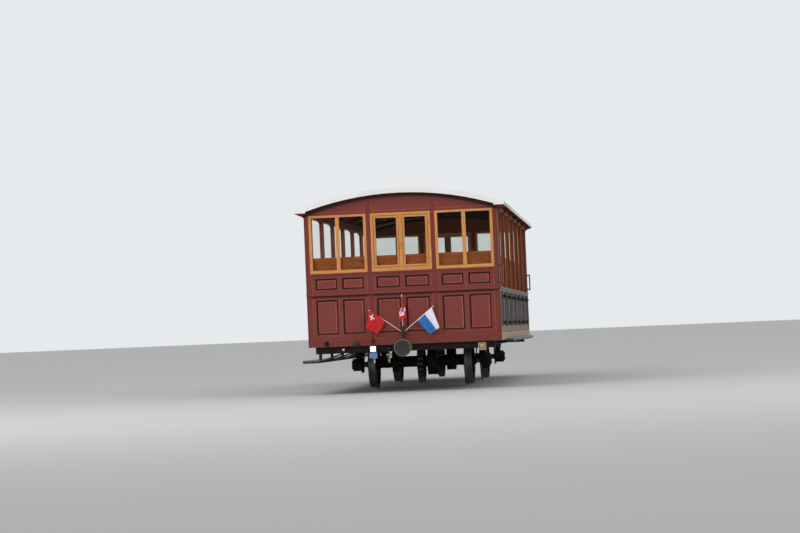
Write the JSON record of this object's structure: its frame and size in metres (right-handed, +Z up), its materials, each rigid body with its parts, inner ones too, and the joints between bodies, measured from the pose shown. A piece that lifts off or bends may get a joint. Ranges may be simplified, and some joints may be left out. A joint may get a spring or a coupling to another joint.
{
  "type": "rack railway passenger coach",
  "caption": "Two-axle wooden rack railway passenger coach with glazed ends, open-sided compartments with half doors, arched roof and a rack cog on each axle.",
  "frame": {"origin": "floor level at the flange tips, under the middle of the coach", "axes": "+Z up, -Y towards the glazed end that leads in the picture, +X to that end's right side as seen in the picture"},
  "size_m": [3.044, 9.86, 2.9687],
  "materials": {
    "red_paint": "gloss red-brown coach paint on boards",
    "post_paint": "gloss red-brown coach paint on posts and rails",
    "door_paint": "painted tongue-and-groove boards",
    "roof_canvas": "off-white painted canvas over boards",
    "varnished_wood": "clear-varnished hardwood",
    "window_glass": "clear flat glass",
    "floor_wood": "worn floor boards",
    "bench_wood": "varnished bench boards",
    "frame_steel": "black-painted steel with road dirt",
    "headstock_paint": "dark brown paint",
    "wheel_steel": "brown-dusted steel, bright treads",
    "buffer_steel": "dark grey worn paint",
    "footboard_wood": "weathered board with dark edge",
    "lamp_metal": "white-lit lens in a pale housing",
    "marker_white": "white plate with an amber lens",
    "hose_yellow": "yellow-green coupling head on a black hose",
    "stand_black": "black-painted holder and poles",
    "red_cloth": "woven flag cloth",
    "blue_cloth": "woven flag cloth, white over blue halves"
  },
  "bodies": {
    "root": {"end_wall_front": "red_paint", "end_wall_rear": "red_paint", "roof": "roof_canvas", "window_frame_front_left": "varnished_wood", "window_frame_front_centre": "varnished_wood", "window_frame_front_right": "varnished_wood", "window_pane_front_left": "window_glass", "window_pane_front_centre": "window_glass", "window_pane_front_right": "window_glass", "window_frame_rear_left": "varnished_wood", "window_frame_rear_centre": "varnished_wood", "window_frame_rear_right": "varnished_wood", "window_pane_rear_left": "window_glass", "window_pane_rear_centre": "window_glass", "window_pane_rear_right": "window_glass", "side_frame_left": "post_paint", "side_frame_right": "post_paint", "floor": "floor_wood", "benches": "bench_wood", "sole_bar_left": "frame_steel", "sole_bar_right": "frame_steel", "cross_bearer_front": "frame_steel", "cross_bearer_middle": "frame_steel", "cross_bearer_rear": "frame_steel", "headstock_front": "headstock_paint", "headstock_rear": "headstock_paint", "axle_guard_front_left": "frame_steel", "axle_guard_front_right": "frame_steel", "axle_guard_rear_left": "frame_steel", "axle_guard_rear_right": "frame_steel", "buffer_front": "buffer_steel", "buffer_rear": "buffer_steel", "footboard_left": "footboard_wood", "footboard_right": "footboard_wood", "brake_beam_front": "frame_steel", "brake_beam_rear": "frame_steel", "jumper_socket": "frame_steel", "lamp_iron": "frame_steel", "end_lamp": "lamp_metal", "marker_lamp": "marker_white", "hose_coupling": "hose_yellow", "flag_stand": "stand_black", "flag_left": "red_cloth", "flag_centre": "red_cloth", "flag_right": "blue_cloth"},
    "wheelset_front": {"wheelset_front": "wheel_steel"},
    "wheelset_rear": {"wheelset_rear": "wheel_steel"},
    "door_left_1": {"door_left_1": "door_paint"},
    "door_left_2": {"door_left_2": "door_paint"},
    "door_left_3": {"door_left_3": "door_paint"},
    "door_left_4": {"door_left_4": "door_paint"},
    "door_left_5": {"door_left_5": "door_paint"},
    "door_left_6": {"door_left_6": "door_paint"},
    "door_right_1": {"door_right_1": "door_paint"},
    "door_right_2": {"door_right_2": "door_paint"},
    "door_right_3": {"door_right_3": "door_paint"},
    "door_right_4": {"door_right_4": "door_paint"},
    "door_right_5": {"door_right_5": "door_paint"},
    "door_right_6": {"door_right_6": "door_paint"}
  },
  "joints": [
    {"name": "wheelset_front_spin", "type": "hinge", "parent": "root", "child": "wheelset_front", "pos_m": [0, -1.9, 0.38666], "axis": [1, 0, 0], "continuous": true},
    {"name": "wheelset_rear_spin", "type": "hinge", "parent": "root", "child": "wheelset_rear", "pos_m": [0, 1.9, 0.38666], "axis": [1, 0, 0], "continuous": true},
    {"name": "door_left_1_hinge", "type": "hinge", "parent": "root", "child": "door_left_1", "pos_m": [-1.4345, -3.6755, 1.12666], "axis": [0, 0, 1], "range_deg": [0, 95]},
    {"name": "door_left_2_hinge", "type": "hinge", "parent": "root", "child": "door_left_2", "pos_m": [-1.4345, -2.3185, 1.12666], "axis": [0, 0, 1], "range_deg": [0, 95]},
    {"name": "door_left_3_hinge", "type": "hinge", "parent": "root", "child": "door_left_3", "pos_m": [-1.4345, -0.9615, 1.12666], "axis": [0, 0, 1], "range_deg": [0, 95]},
    {"name": "door_left_4_hinge", "type": "hinge", "parent": "root", "child": "door_left_4", "pos_m": [-1.4345, 0.3955, 1.12666], "axis": [0, 0, 1], "range_deg": [0, 95]},
    {"name": "door_left_5_hinge", "type": "hinge", "parent": "root", "child": "door_left_5", "pos_m": [-1.4345, 1.7525, 1.12666], "axis": [0, 0, 1], "range_deg": [0, 95]},
    {"name": "door_left_6_hinge", "type": "hinge", "parent": "root", "child": "door_left_6", "pos_m": [-1.4345, 3.1095, 1.12666], "axis": [0, 0, 1], "range_deg": [0, 95]},
    {"name": "door_right_1_hinge", "type": "hinge", "parent": "root", "child": "door_right_1", "pos_m": [1.4345, -3.6755, 1.12666], "axis": [0, 0, -1], "range_deg": [0, 95]},
    {"name": "door_right_2_hinge", "type": "hinge", "parent": "root", "child": "door_right_2", "pos_m": [1.4345, -2.3185, 1.12666], "axis": [0, 0, -1], "range_deg": [0, 95]},
    {"name": "door_right_3_hinge", "type": "hinge", "parent": "root", "child": "door_right_3", "pos_m": [1.4345, -0.9615, 1.12666], "axis": [0, 0, -1], "range_deg": [0, 95]},
    {"name": "door_right_4_hinge", "type": "hinge", "parent": "root", "child": "door_right_4", "pos_m": [1.4345, 0.3955, 1.12666], "axis": [0, 0, -1], "range_deg": [0, 95]},
    {"name": "door_right_5_hinge", "type": "hinge", "parent": "root", "child": "door_right_5", "pos_m": [1.4345, 1.7525, 1.12666], "axis": [0, 0, -1], "range_deg": [0, 95]},
    {"name": "door_right_6_hinge", "type": "hinge", "parent": "root", "child": "door_right_6", "pos_m": [1.4345, 3.1095, 1.12666], "axis": [0, 0, -1], "range_deg": [0, 95]}
  ]
}
